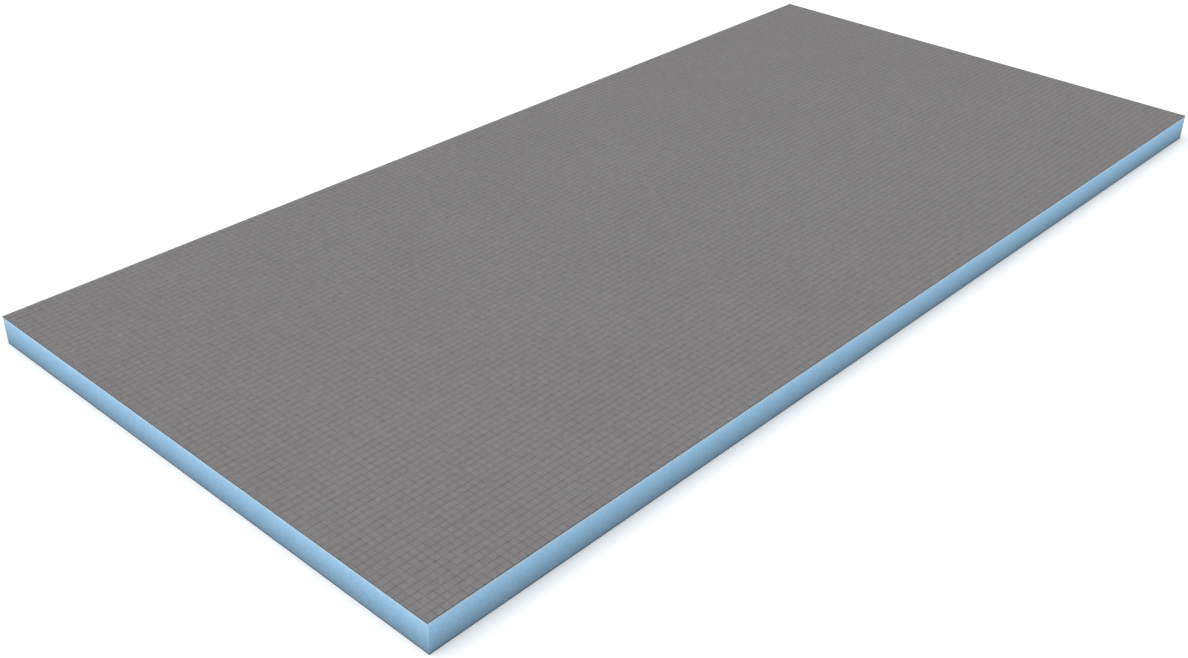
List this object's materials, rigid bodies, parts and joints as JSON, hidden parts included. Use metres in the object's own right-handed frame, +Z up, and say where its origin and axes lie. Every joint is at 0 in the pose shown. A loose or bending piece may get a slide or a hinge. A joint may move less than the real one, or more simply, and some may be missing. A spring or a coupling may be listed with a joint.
{
  "type": "foam tile backer board",
  "caption": "Flat rigid tile backer board: blue foam core with a thin mesh-reinforced grey cement coating on both faces, bare foam on its cut edges.",
  "frame": {"origin": "middle of the underside", "axes": "+X along the length, +Y along the width, +Z up through the thickness, out of the tile face"},
  "size_m": [1.25, 0.6, 0.03],
  "materials": {
    "blue_foam": "matt sawn edge of fine closed-cell foam",
    "mortar_coating": "matt grey polymer cement with a fine square mesh showing through"
  },
  "bodies": {
    "root": {"bottom_coating": "mortar_coating", "foam_core": "blue_foam", "top_coating": "mortar_coating"}
  },
  "joints": []
}
